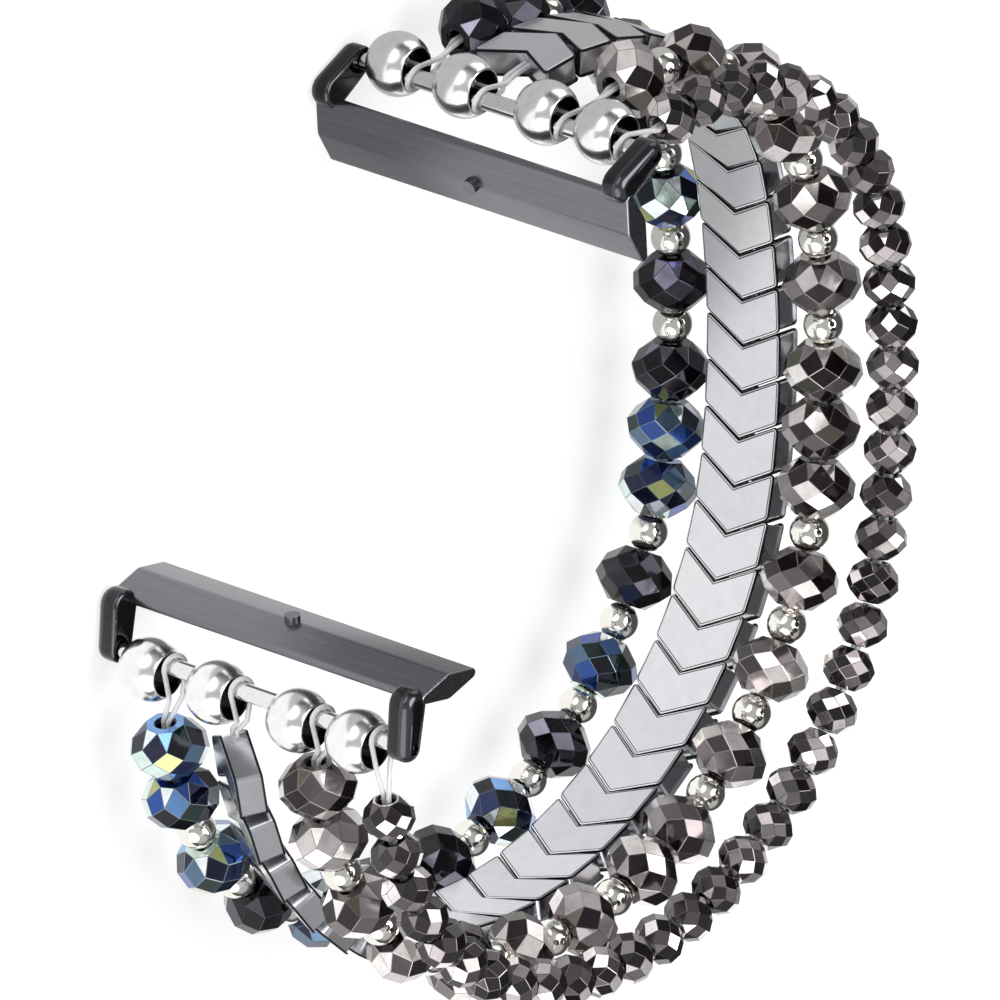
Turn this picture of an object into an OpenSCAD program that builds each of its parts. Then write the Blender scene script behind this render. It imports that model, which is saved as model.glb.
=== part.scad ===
// Multi-strand beaded elastic band with a slide-in adapter at each end.
// Four strands of beads run side by side from the lower adapter, round the wrist, to the upper one.
// The part lies on its left edge: Z runs from the left edge to the right one, Y from the adapters
// to the back of the wrist, and the lower adapter is at +X. Lengths are in millimetres.

/* [Loop] */
// Radius and sweep of each arc of the resting loop, from the lower adapter to the upper one
arcs = [[25, 76], [31, 91], [65, 21], [21, 102]];
// Where the strands' common line starts, outward and towards the wrist from the lower balls' axis
line_start = [1.74, 1.2];
// Where it ends, outward and towards the wrist from the upper balls' axis
line_end = [-0.74, 0.4];
// Bare cord between the start of that line and the first bead of each strand, from the left strand
first_leads = [1.8, 1.5, 0.6, 1.7];
// Bare cord between the last bead of each strand and the end of that line
last_leads = [5.2, 4.2, 5.6, 2.8];
// Play between neighbouring beads of the left strand
bead_play = 0.075; // [0.05:0.005:0.15]
// Extra room between two large faceted beads that stand side by side
pair_gap = 0.32; // [0.3:0.01:0.5]
// Space between the two cords of one segment and those of the next
cord_break = 0.1; // [0.08:0.01:0.2]

/* [Glass beads] */
// Diameter of a large faceted bead
rondelle_d = 6; // [5:0.1:7]
// Length of a large faceted bead along its cord
rondelle_l = 4.25; // [3.8:0.05:5]
// Diameter of a large bead's flat end
rondelle_table_d = 2.8; // [2.4:0.1:3.4]
// Diameter of a small faceted bead
small_d = 4; // [3.4:0.1:4.6]
// Length of a small faceted bead along its cord
small_l = 3.05; // [2.6:0.05:3.4]
// Diameter of a small bead's flat end
small_table_d = 1.9; // [1.8:0.1:2.2]
// Diameter of the silver ball between two large beads
spacer_d = 3; // [2.6:0.1:3.4]

/* [Chevron beads] */
// Width of a chevron across the strand
chevron_w = 7.3; // [6:0.1:7.4]
// Length of a chevron's arm along the strand
chevron_arm = 3.45; // [2.8:0.05:4]
// Distance that a chevron's point stands ahead of its corners
chevron_rise = 2; // [1:0.1:2.4]
// Thickness of a chevron
chevron_t = 2.2; // [2:0.1:3]
// Least gap between two chevrons, and between two small beads
nest_gap = 0.3; // [0.22:0.01:0.5]
// Angle by which the first chevron's strand is twisted about its cord, which fades along the strand
chevron_twist = 38; // [0:1:40]
// Number of chevrons over which the twist fades, and which fan out on their outer side
fan_count = 8; // [7:1:10]
// Extra room between the chevrons that fan out
fan_gap = 0.28; // [0.26:0.01:0.3]

/* [Cords and holes] */
// Diameter of the elastic cord, which runs double through every bead
cord_d = 0.4; // [0.36:0.02:0.5]
// Clear distance between the two cords
cord_gap = 0.06; // [0.05:0.01:0.1]
// Diameter of the hole through a glass bead or a silver ball
bead_hole_d = 1.3; // [1.26:0.02:1.5]
// Diameter of the countersink at each end of a glass bead's hole
hole_flare_d = 2.1; // [1.9:0.05:2.2]
// Depth of that countersink
hole_flare = 0.3; // [0.2:0.05:0.5]
// Diameter of the hole along a chevron
chevron_hole_d = 1.4; // [1.3:0.02:1.5]

/* [Strand places] */
// Clear distances between the strands at the bars, from the left edge to the right one
strand_gaps = [0.15, 1.3, 1.7];
// Angle by which the chevron strand leans to the right, towards the back of the wrist
chevron_tilt = 1.35; // [0:0.05:1.45]
// Distance from each large-hole ball to its strand, along the bar
ball_shift = [1.3, 1.6, 1.64, 2.59];
// Play between the outer balls or cord loops and the ears
end_play = 0.8; // [0.3:0.1:1.5]

/* [Bars and balls] */
// Diameter of the spring bar's tube
bar_d = 1.4; // [1.3:0.05:1.5]
// Distance by which the large-hole balls hang off the bar's middle
ball_hang = 0.8; // [0.6:0.05:0.85]
// Direction in which they hang, from straight out towards the wrist
hang_angle = 38; // [0:1:60]
// Diameter of a large-hole ball
ball_d = 4.9; // [4.6:0.1:5.4]
// Diameter of its hole
ball_hole_d = 3.2; // [3.1:0.05:3.6]
// Space between a cord loop and the bar that it goes round
loop_clearance = 0.06; // [0.05:0.01:0.12]
// Space between a cord loop and the mouth of its ball
mouth_gap = 0.1; // [0.05:0.05:0.3]
// Diameter of the knot inside a ball
knot_d = 0.9; // [0.6:0.05:1.1]

/* [Spring bars] */
// Bore of the spring bar's tube
tube_bore = 1.08; // [1.04:0.02:1.16]
// Diameter of the plunger in the tube
plunger_d = 1; // [0.94:0.02:1.04]
// Length of the plunger
plunger_l = 3; // [2:0.5:5]
// Diameter of the tip that enters the ear
tip_d = 0.8; // [0.6:0.02:0.84]
// Radial clearance round the tip
tip_clearance = 0.05; // [0.02:0.01:0.08]
// Length of the rolled lip that holds the plunger in
lip_l = 0.4; // [0.3:0.1:1]
// Gap between the tube and an ear
tube_gap = 0.1; // [0.1:0.05:0.3]
// Depth that the tip enters the ear
tip_reach = 1.6; // [1:0.1:1.8]
// Wire diameter of the spring
wire_d = 0.16; // [0.1:0.01:0.2]
// Number of curls of the spring
curls = 12; // [8:1:20]

/* [Adapters] */
// Thickness of an ear along the bar
ear_t = 1.9; // [1.8:0.1:3]
// Wall of the ear round the bar's tip
ear_wall = 0.65; // [0.5:0.05:0.9]
// Middle of the ear's root, outward and towards the wrist from the balls' axis
ear_root = [-3.6, -2];
// Radius of the ear at its root
root_r = 1.3; // [1.2:0.05:1.5]
// Front end of the slide rail, likewise
rail_front = [-4.35, -1.5];
// Back end of the slide rail, likewise
rail_back = [-7.6, 2.6];
// Thickness of the rail in its middle
rail_t = 2; // [1.8:0.1:2.6]
// Radius of the rail's two edges
rail_edge_r = 0.4; // [0.3:0.05:0.6]
// Diameter of the latch pin in the rail
latch_d = 1.2; // [1:0.1:1.6]
// Height that the latch pin stands out of the rail
latch_lift = 0.5; // [0.3:0.1:0.8]
// Clearance round the latch pin
latch_clearance = 0.05; // [0.03:0.01:0.08]

/* [Hidden] */
$fn = 48;
SEGMENTS = 6;
BALLS = 4;
SIDES = ["lower", "upper"];
// Beads of the two ball strands from the lower adapter: R is a large faceted bead, b a silver ball
LEFT_BEADS = "RRbRbRbRbRbRbRbRbRbRbRRRbRbRbRbRbRbRR";
GREY_BEADS = "RRbRbRbRbRbRbRRbRbRbRbRRRbRbRbRbRbRbR";
// Number of beads of the left strand before each line where the band flexes
LEFT_COUNTS = [0, 7, 13, 21, 27, 31, 37];

// Length along the cord of one bead of a ball strand, and of the first n of a run of them without their play
spacer_l = sqrt(pow(spacer_d, 2) - pow(bead_hole_d, 2));
function bead_len(c) = c == "R" ? rondelle_l : spacer_l;
function room_before(beads, n) = n > 0 && beads[n - 1] == "R" && beads[n] == "R" ? pair_gap : 0;
function run_len(beads, n) = n == 0 ? 0 : run_len(beads, n - 1) + room_before(beads, n - 1) + bead_len(beads[n - 1]);
function beads_of(i) = i == 0 ? LEFT_BEADS : GREY_BEADS;
strand_len = first_leads[0] + run_len(LEFT_BEADS, len(LEFT_BEADS)) + len(LEFT_BEADS) * bead_play + last_leads[0];
function beaded_len(i) = strand_len - first_leads[i] - last_leads[i];
grey_play = (beaded_len(2) - run_len(GREY_BEADS, len(GREY_BEADS))) / len(GREY_BEADS);
function play_of(i) = i == 0 ? bead_play : grey_play;
// Middle of bead n of a ball strand, and of the gap in front of it
function bead_at(i, n) = let (beads = beads_of(i))
    first_leads[i] + run_len(beads, n) + room_before(beads, n) + (n + 0.5) * play_of(i) + bead_len(beads[n]) / 2;
function gap_at(i, n) = let (beads = beads_of(i))
    first_leads[i] + run_len(beads, n) + room_before(beads, n) / 2 + n * play_of(i);
// Distance along the line to the place where the band flexes behind segment k
function flex_at(k) = gap_at(0, LEFT_COUNTS[k]);

// The loop: arcs joined end to end, sized so that together they are as long as a strand
function turn_before(i) = i == 0 ? 0 : turn_before(i - 1) + arcs[i - 1][1];
function drawn_len(i) = i == 0 ? 0 : drawn_len(i - 1) + arcs[i - 1][0] * arcs[i - 1][1] * PI / 180;
loop_scale = strand_len / drawn_len(len(arcs));
function arc_r(i) = arcs[i][0] * loop_scale;
function len_before(i) = drawn_len(i) * loop_scale;
function arc_step(i, turn) = let (a = turn_before(i), b = a + turn) arc_r(i) * [sin(b) - sin(a), cos(a) - cos(b)];
function arc_start(i) = i == 0 ? [0, 0] : arc_start(i - 1) + arc_step(i - 1, arcs[i - 1][1]);
loop_end = arc_start(len(arcs));
span = norm(loop_end);
first_turn = 180 - atan2(loop_end[1], loop_end[0]);
function arc_of(s, i = 0) = i == len(arcs) - 1 || s < len_before(i + 1) ? i : arc_of(s, i + 1);
function turned(p) = [p[0] * cos(first_turn) - p[1] * sin(first_turn), p[0] * sin(first_turn) + p[1] * cos(first_turn)];
function arc_turn(s) = (s - len_before(arc_of(s))) / arc_r(arc_of(s)) * 180 / PI;
function heading(s) = first_turn + turn_before(arc_of(s)) + arc_turn(s);
function loop_point(s) = line_start + turned(arc_start(arc_of(s)) + arc_step(arc_of(s), arc_turn(s)));

// Centre of the part's outline, which lies over the origin
outline = [for (s = [0:0.5:strand_len]) loop_point(s)];
loop_min_x = min([for (p = outline) p[0]]) - rondelle_d / 2;
loop_max_x = max([for (p = outline) p[0]]) + rondelle_d / 2;
loop_max_y = max([for (p = outline) p[1]]) + rondelle_d / 2;
adapter_min_y = min(rail_front[1] - rail_edge_r, ear_root[1] - root_r, -ball_d / 2);
lower_axis = [-(loop_min_x + loop_max_x) / 2, -(adapter_min_y + loop_max_y) / 2];
upper_axis = lower_axis + line_start + turned(loop_end) + [line_end[0], -line_end[1]];

// Heights of the strands, balls and cord loops above the left ear's outer face
ball_half = sqrt(pow(ball_d / 2, 2) - pow(ball_hole_d / 2, 2));
half_widths = [rondelle_d / 2, chevron_w / 2, rondelle_d / 2, small_d / 2];
function strand_z(i) = i == 0 ? ear_t + end_play + ball_half + ball_shift[0]
    : strand_z(i - 1) + half_widths[i - 1] + strand_gaps[i - 1] + half_widths[i];
function ball_z(i) = strand_z(i) - ball_shift[i];
cord_step = (cord_d + cord_gap) / 2;
function loop_z(i) = ball_z(i) + ball_half + mouth_gap + cord_d / 2 + cord_step;
adapter_w = loop_z(BALLS - 1) + cord_step + cord_d / 2 + end_play + ear_t;

// The spring bars, seen from the balls' axis, and the cord loop that goes round each
bar_place = -ball_hang * [cos(hang_angle), sin(hang_angle)];
lower_bar = lower_axis + bar_place;
upper_bar = upper_axis + [-bar_place[0], bar_place[1]];
loop_r = bar_d / 2 + loop_clearance + cord_d / 2;

// Profile of a faceted bead: hole, countersink, flat end, shoulder, girdle
module faceted_bead(d, l, table_d, hole_d) {
    flare_r = min(hole_flare_d, table_d - 0.3) / 2;
    half = [[flare_r, l / 2], [table_d / 2, l / 2], [0.43 * d, 0.29 * l], [d / 2, 0.08 * l]];
    back = [for (i = [len(half) - 1:-1:0]) [half[i][0], -half[i][1]]];
    rotate([0, 90, 0]) rotate_extrude()
        polygon(concat([[hole_d / 2, l / 2 - hole_flare]], half, back, [[hole_d / 2, hole_flare - l / 2]]));
}
module drilled_ball(d, hole_d) {
    difference() {
        sphere(d = d);
        cylinder(d = hole_d, h = d + 1, center = true);
    }
}
module chevron() {
    tip = chevron_arm / 2 + chevron_rise / 2;
    notch = chevron_arm / 2 - chevron_rise / 2;
    difference() {
        rotate([90, 0, 0]) linear_extrude(chevron_t, center = true)
            polygon([[-tip, 0], [-notch, chevron_w / 2], [tip, chevron_w / 2], [notch, 0],
                [tip, -chevron_w / 2], [-notch, -chevron_w / 2]]);
        rotate([0, 90, 0]) cylinder(d = chevron_hole_d, h = 2 * tip + 1, center = true);
    }
}

// A place on strand i, a distance s along it and a distance up from its middle
function tilt_of(i) = i == 1 ? chevron_tilt : 0;
function strand_spot(i, s, up) = let (p = loop_point(s), t = tilt_of(i))
    [lower_axis[0] + p[0], lower_axis[1] + p[1] * cos(t) - up * sin(t), strand_z(i) + p[1] * sin(t) + up * cos(t)];
module in_strand(i) {
    translate([lower_axis[0], lower_axis[1], strand_z(i)]) rotate([tilt_of(i), 0, 0]) children();
}
module on_strand(i, s) {
    p = loop_point(s);
    in_strand(i) translate([p[0], p[1], 0]) rotate([0, 0, heading(s)]) rotate([twist_at(i, s), 0, 0]) children();
}

// The chevrons and the small beads fill their strands, as many as fit with the least gap between them
function fan_of(i) = i == 1 ? fan_count : 0;
function fill_room(i) = beaded_len(i) - fan_of(i) * fan_gap;
function fill_total(i) = floor(fill_room(i) / ((i == 1 ? chevron_arm : small_l) + nest_gap));
function fill_pitch(i) = fill_room(i) / fill_total(i);
function fill_place(i, n) = first_leads[i] + (n + 0.5) * fill_pitch(i) + min(n, fan_of(i)) * fan_gap;
fan_end = fill_place(1, fan_count);
function twist_at(i, s) = i == 1 ? chevron_twist * max(0, 1 - s / fan_end) : 0;
// How far the middle of such a bead's body, on its cord, stands behind the middle of its outline
function fill_lag(i) = i == 1 ? chevron_rise / 2 : 0;

// Number of beads of strand i before the end of segment k, in its gap nearest to the flex line
function nearest_gap(i, s, n = 0) =
    n == len(beads_of(i)) || gap_at(i, n) + gap_at(i, n + 1) > 2 * s ? n : nearest_gap(i, s, n + 1);
function beads_before(i, s, n = 0) = fill_place(i, n) > s ? n : beads_before(i, s, n + 1);
function count_at(i, k) = i == 0 ? LEFT_COUNTS[k]
    : k == 0 ? 0
    : k == SEGMENTS ? (i == 2 ? len(GREY_BEADS) : fill_total(i))
    : i == 2 ? nearest_gap(2, flex_at(k)) : beads_before(i, flex_at(k) + fill_lag(i));
// Where that gap is, on the cord
function cut_at(i, k) = i == 0 || i == 2 ? gap_at(i, count_at(i, k))
    : (fill_place(i, count_at(i, k) - 1) + fill_place(i, count_at(i, k))) / 2 - fill_lag(i);
module ball_strand(i, kind, k) {
    for (n = [count_at(i, k - 1):1:count_at(i, k) - 1]) if (beads_of(i)[n] == kind) on_strand(i, bead_at(i, n))
        children();
}
module filled_strand(i, k) {
    for (n = [count_at(i, k - 1):1:count_at(i, k) - 1]) on_strand(i, fill_place(i, n)) children();
}

module glass_beads(k) {
    color([0.09, 0.12, 0.2]) ball_strand(0, "R", k)
        faceted_bead(rondelle_d, rondelle_l, rondelle_table_d, bead_hole_d);
}
module chevrons(k) {
    color([0.62, 0.63, 0.66]) filled_strand(1, k) chevron();
}
module grey_beads(k) {
    color([0.36, 0.34, 0.36]) ball_strand(2, "R", k)
        faceted_bead(rondelle_d, rondelle_l, rondelle_table_d, bead_hole_d);
}
module small_beads(k) {
    color([0.3, 0.28, 0.29]) filled_strand(3, k)
        faceted_bead(small_d, small_l, small_table_d, bead_hole_d);
}
module spacer_balls(k) {
    color([0.8, 0.8, 0.78]) {
        ball_strand(0, "b", k) rotate([0, 90, 0]) drilled_ball(spacer_d, bead_hole_d);
        ball_strand(2, "b", k) rotate([0, 90, 0]) drilled_ball(spacer_d, bead_hole_d);
    }
}

// A tube of a few flat sides along a path of points
function unit(v) = v / norm(v);
function way_at(path, n) = unit(path[min(n + 1, len(path) - 1)] - path[max(n - 1, 0)]);
function tube_ring(path, n, d, sides) =
    let (way = way_at(path, n), u = unit(cross(way, [0, 0, 1])), v = cross(way, u))
    [for (j = [0:sides - 1]) path[n] + d / 2 * (cos(360 * j / sides) * u + sin(360 * j / sides) * v)];
module tube(path, d, sides) {
    last = len(path) - 1;
    polyhedron(points = [for (n = [0:last]) each tube_ring(path, n, d, sides)], faces = concat(
        [[for (j = [0:sides - 1]) j]],
        [for (n = [0:last - 1]) for (j = [0:sides - 1]) let (a = n * sides, q = (j + 1) % sides)
            each [[a + j, a + sides + q, a + q], [a + j, a + sides + j, a + sides + q]]],
        [[for (j = [sides - 1:-1:0]) last * sides + j]]), convexity = 10);
}

// One cord along strand i, a distance up from its middle
swept_piece = 2.5;
function cord_run(i, from, to, up) = let (steps = ceil(abs(to - from) / swept_piece))
    [for (n = [0:steps]) strand_spot(i, from + (to - from) * n / steps, up)];
// The doubled cord at an adapter: along one side of its strand, round the bar, and back along the other
function bar_turn(i, bar, way, touch) = let (
        sweep = 360 - 2 * touch,
        steps = ceil(sweep / 15),
        lean = asin(cord_step / (loop_r * sin(touch))))
    [for (n = [0:steps]) let (a = touch + sweep * n / steps, x = loop_r * cos(a), y = loop_r * sin(a) * cos(lean))
        [bar[0] + x * cos(way) - y * sin(way), bar[1] + x * sin(way) + y * cos(way),
            loop_z(i) + loop_r * sin(a) * sin(lean)]];
// Where a cord, level with its loop until then, is clear of the ball's mouth and starts towards its strand
lip_gap = 0.05;
function mouth_exit(i, bar, way, touch, reach, side) = let (
        x = ball_hang + ball_hole_d / 2 + lip_gap,
        y = side * loop_r * sin(touch) * (reach - x) / (reach - loop_r * cos(touch)))
    [bar[0] + x * cos(way) - y * sin(way), bar[1] + x * sin(way) + y * cos(way), loop_z(i) + side * cord_step];
function cord_end_path(i, bar, bead, cut) = let (
        mouth = strand_spot(i, bead, 0),
        out = [mouth[0] - bar[0], mouth[1] - bar[1]],
        way = atan2(out[1], out[0]),
        touch = acos(loop_r / norm(out)))
    concat(cord_run(i, cut, bead, cord_step), [mouth_exit(i, bar, way, touch, norm(out), 1)],
        bar_turn(i, bar, way, touch), [mouth_exit(i, bar, way, touch, norm(out), -1)],
        cord_run(i, bead, cut, -cord_step));
module cords(k) {
    first = k == 1;
    last = k == SEGMENTS;
    color([0.85, 0.87, 0.88]) for (i = [0:BALLS - 1]) {
        from = first ? first_leads[i] - fill_lag(i) : cut_at(i, k - 1) + cord_break / 2;
        to = last ? strand_len - last_leads[i] + fill_lag(i) : cut_at(i, k) - cord_break / 2;
        if (first) tube(cord_end_path(i, lower_bar, from, to), cord_d, 8);
        else if (last) tube(cord_end_path(i, upper_bar, to, from), cord_d, 8);
        else for (side = [-1, 1]) tube(cord_run(i, from, to, side * cord_step), cord_d, 8);
    }
}

// Puts its children at one adapter: x runs outward from it, y towards the wrist
module at_adapter(side) {
    axis = side == "lower" ? lower_axis : upper_axis;
    translate([axis[0], axis[1], 0]) mirror([side == "lower" ? 0 : 1, 0, 0]) children();
}
// Outline round a row of circles, each [centre, radius], taken anticlockwise
function edge_turn(a, b) = let (d = b[0] - a[0]) atan2(d[1], d[0]) - 90 + asin((a[1] - b[1]) / norm(d));
function corner(before, c, after) =
    let (t = edge_turn(before, c), sweep = (edge_turn(c, after) - t + 720) % 360, steps = max(1, round(sweep / 9)))
    [for (i = [0:steps]) c[0] + c[1] * [cos(t + sweep * i / steps), sin(t + sweep * i / steps)]];
function outline_of(circles) = let (n = len(circles))
    [for (i = [0:n - 1]) each corner(circles[(i + n - 1) % n], circles[i], circles[(i + 1) % n])];

tip_hole_d = tip_d + 2 * tip_clearance;
ear_r = tip_hole_d / 2 + ear_wall;
rail_mid = (rail_front + rail_back) / 2;
rail_way = atan2(rail_front[1] - rail_back[1], rail_front[0] - rail_back[0]);
// An ear is a lobe that grows out of the rail's end towards the bar
module ear() {
    linear_extrude(ear_t) polygon(outline_of([[bar_place, ear_r], [ear_root, root_r]]));
}
module rail() {
    linear_extrude(adapter_w) polygon(outline_of([[rail_front, rail_edge_r], [rail_mid, rail_t / 2],
        [rail_back, rail_edge_r], [rail_mid, rail_t / 2]]));
}
module latch_hole_way() {
    translate([rail_mid[0], rail_mid[1], adapter_w / 2]) rotate([0, 0, rail_way]) rotate([-90, 0, 0]) children();
}
module adapter(side) {
    color([0.06, 0.06, 0.07]) at_adapter(side) difference() {
        union() {
            ear();
            translate([0, 0, adapter_w - ear_t]) ear();
            rail();
        }
        translate([bar_place[0], bar_place[1], -1]) cylinder(d = tip_hole_d, h = adapter_w + 2);
        latch_hole_way() cylinder(d = latch_d + 2 * latch_clearance, h = 3 * rail_t, center = true);
    }
}
// The pin is shorter than the rail is thick, so that its back end stays inside when it is pushed in
module latch_pin(side) {
    recess = 0.1;
    color([0.5, 0.5, 0.52]) at_adapter(side) latch_hole_way()
        translate([0, 0, -rail_t / 2 - latch_lift]) cylinder(d = latch_d, h = rail_t - recess);
}
tube_from = ear_t + tube_gap;
tube_to = adapter_w - ear_t - tube_gap;
// Space between a plunger and the lip in front of it, and between it and the spring behind it
shoulder = 0.02;
spring_seat = 0.05;
module bar_tube(side) {
    color([0.7, 0.7, 0.72]) at_adapter(side) translate([bar_place[0], bar_place[1], 0]) difference() {
        translate([0, 0, tube_from]) cylinder(d = bar_d, h = tube_to - tube_from);
        translate([0, 0, tube_from + lip_l]) cylinder(d = tube_bore, h = tube_to - tube_from - 2 * lip_l);
        translate([0, 0, tube_from - 1]) cylinder(d = tip_hole_d, h = tube_to - tube_from + 2);
    }
}
module bar_tip(side, right) {
    z = adapter_w / 2;
    color([0.6, 0.6, 0.62]) at_adapter(side) translate([bar_place[0], bar_place[1], z]) mirror([0, 0, right ? 1 : 0])
        translate([0, 0, -z]) {
            translate([0, 0, ear_t - tip_reach]) cylinder(d = tip_d, h = tip_reach + tube_gap + lip_l + 1);
            translate([0, 0, tube_from + lip_l + shoulder]) cylinder(d = plunger_d, h = plunger_l);
        }
}

// The spring inside the tube, a coil of wire between the two plungers
spring_from = tube_from + lip_l + shoulder + plunger_l + spring_seat;
spring_to = adapter_w - spring_from;
spring_r = plunger_d / 2 - wire_d / 2;
CURL_RINGS = 8;
rings = curls * CURL_RINGS;
curl_rise = (spring_to - spring_from - wire_d) / curls;
coil = [for (n = [0:rings]) let (t = 360 * n / CURL_RINGS)
    [spring_r * cos(t), spring_r * sin(t), spring_from + wire_d / 2 + curl_rise * n / CURL_RINGS]];
module bar_spring(side) {
    color([0.7, 0.7, 0.72]) at_adapter(side) translate([bar_place[0], bar_place[1], 0])
        tube(coil, wire_d, 6);
}
least_coil_gap = min([for (n = [0:2 * CURL_RINGS]) for (m = [n + 5:min(rings, n + 2 * CURL_RINGS)])
    norm(coil[n] - coil[m]) - wire_d]);
echo(least_coil_gap = least_coil_gap);
// Where the band flexes, and how large it is, for whoever joins or mounts it
echo(flex_points = [for (k = [1:SEGMENTS - 1]) lower_axis + loop_point(flex_at(k))]);
echo(lower_axis = lower_axis, upper_axis = upper_axis, lower_bar = lower_bar, upper_bar = upper_bar);
echo(span = span, strand_len = strand_len, width = adapter_w);

module large_ball(side, i) {
    color([0.86, 0.86, 0.85]) at_adapter(side) translate([0, 0, ball_z(i - 1)]) drilled_ball(ball_d, ball_hole_d);
}
// The cords are tied at the upper adapter, each knot beside the bar inside its ball, with its ends
module knots() {
    tail_d = 0.3;
    tail_gap = 0.06;
    beside = loop_r + cord_d / 2 + tail_gap + tail_d / 2;
    color([0.85, 0.87, 0.88]) at_adapter("upper") translate([bar_place[0], bar_place[1], 0])
        rotate([0, 0, hang_angle]) for (i = [0:BALLS - 1]) translate([beside, 0, ball_z(i)]) {
            sphere(d = knot_d);
            cylinder(d = tail_d, h = loop_z(i) - cord_step - cord_d / 2 - tail_gap - ball_z(i));
        }
}

for (k = [1:SEGMENTS]) {
    glass_beads(k);
    chevrons(k);
    grey_beads(k);
    small_beads(k);
    spacer_balls(k);
    cords(k);
}
for (side = SIDES) {
    adapter(side);
    latch_pin(side);
    bar_tube(side);
    bar_tip(side, false);
    bar_tip(side, true);
    bar_spring(side);
    for (i = [1:BALLS]) large_ball(side, i);
}
knots();
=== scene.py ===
"""Looks of a multi-strand beaded elastic band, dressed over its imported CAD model."""

import itertools
import math

import bmesh
import bpy
import numpy as np
from mathutils import Matrix, Vector


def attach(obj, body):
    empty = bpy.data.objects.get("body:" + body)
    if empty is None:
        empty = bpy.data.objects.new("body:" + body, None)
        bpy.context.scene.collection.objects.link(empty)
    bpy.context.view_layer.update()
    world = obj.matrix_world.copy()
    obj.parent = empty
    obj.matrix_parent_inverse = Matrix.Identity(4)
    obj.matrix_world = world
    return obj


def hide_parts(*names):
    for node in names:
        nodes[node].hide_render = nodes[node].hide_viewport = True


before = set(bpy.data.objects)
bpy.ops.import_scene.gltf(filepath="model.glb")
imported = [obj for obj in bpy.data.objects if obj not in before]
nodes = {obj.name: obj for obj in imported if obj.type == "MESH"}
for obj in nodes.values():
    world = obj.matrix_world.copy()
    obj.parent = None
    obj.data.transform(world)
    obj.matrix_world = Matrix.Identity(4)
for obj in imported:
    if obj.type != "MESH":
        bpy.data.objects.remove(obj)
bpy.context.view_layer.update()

MM = 0.001
SEGMENTS = 6

# The strands, from the left edge to the right one.
LEFT, CHEVRONS, GREY, SMALL = range(4)

# Sizes in millimetres and angles in degrees, the same as in the CAD source.
# Radius and sweep of each arc of the resting loop, from the lower adapter to the upper one.
ARCS = [(25, 76), (31, 91), (65, 21), (21, 102)]
# Where the strands' common line starts and ends, outward and towards the wrist from the balls' axis.
LINE_START, LINE_END = (1.74, 1.2), (-0.74, 0.4)
# Bare cord before the first bead and after the last one, for each strand.
FIRST_LEADS = (1.8, 1.5, 0.6, 1.7)
LAST_LEADS = (5.2, 4.2, 5.6, 2.8)
# Play of each bead of the left strand, and extra room between two large beads side by side.
BEAD_PLAY, PAIR_GAP = 0.075, 0.32
# Diameter and length of a large and of a small faceted bead.
RONDELLE_D, RONDELLE_L = 6.0, 4.25
SMALL_D, SMALL_L = 4.0, 3.05
# Diameters of the silver ball between two large beads, and of the beads' holes.
SPACER_D, BEAD_HOLE_D = 3.0, 1.3
# A chevron's width, the length of its arm, how far its point stands ahead, and its thickness.
CHEVRON_W, CHEVRON_ARM, CHEVRON_RISE, CHEVRON_T = 7.3, 3.45, 2.0, 2.2
# Least gap between two chevrons, and between two small beads.
NEST_GAP = 0.3
# The chevron strand's twist about its cord at the lower adapter, and its lean to the right.
CHEVRON_TWIST, CHEVRON_TILT = 38.0, 1.35
# How many chevrons fan out at the lower adapter, and the extra room between them.
FAN_COUNT, FAN_GAP = 8, 0.28
# The cord's diameter, the space between the two of a strand, and that between two segments' cords.
CORD_D, CORD_GAP, CORD_BREAK = 0.4, 0.06, 0.1
CORD_STEP = (CORD_D + CORD_GAP) / 2
# The spring bar's diameter, and how far and which way the large-hole balls hang off it.
BAR_D, BALL_HANG, HANG_ANGLE = 1.4, 0.8, 38.0
BALL_D, BALL_HOLE_D = 4.9, 3.2
# Space between a cord loop and its bar, and from a loop to its ball's mouth along and across the bar.
LOOP_CLEARANCE, MOUTH_GAP, LIP_GAP = 0.06, 0.1, 0.05
# Clear distances between the strands, and from each large-hole ball to its strand, along the bar.
STRAND_GAPS = (0.15, 1.3, 1.7)
BALL_SHIFT = (1.3, 1.6, 1.64, 2.59)
# Play between the outer balls or cord loops and the ears.
END_PLAY = 0.8
# An ear's thickness, its radius at the bar, the place and radius of its root, and its pin hole.
EAR_T, EAR_R = 1.9, 1.1
EAR_ROOT, ROOT_R = (-3.6, -2.0), 1.3
TIP_HOLE_D = 0.9
# The slide rail's two edges with their radius, and its thickness in the middle.
RAIL_FRONT, RAIL_BACK, RAIL_EDGE_R = (-4.35, -1.5), (-7.6, 2.6), 0.4
RAIL_T = 2.0

# The beads from the lower adapter on: R is a large faceted bead and b a silver ball.
LEFT_BEADS = "RRbRbRbRbRbRbRbRbRbRbRRRbRbRbRbRbRbRR"
GREY_BEADS = "RRbRbRbRbRbRbRRbRbRbRbRRRbRbRbRbRbRbR"
BEAD_COUNT = len(LEFT_BEADS)
# How many beads of the left strand come before the end of each segment.
LEFT_COUNTS = (0, 7, 13, 21, 27, 31, BEAD_COUNT)
# Which large beads of the left strand have the blue coat (B) and which are plain black (K).
LEFT_COLOURS = "BBBKBKKBKBKBBKKBKBKKK"

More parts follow.
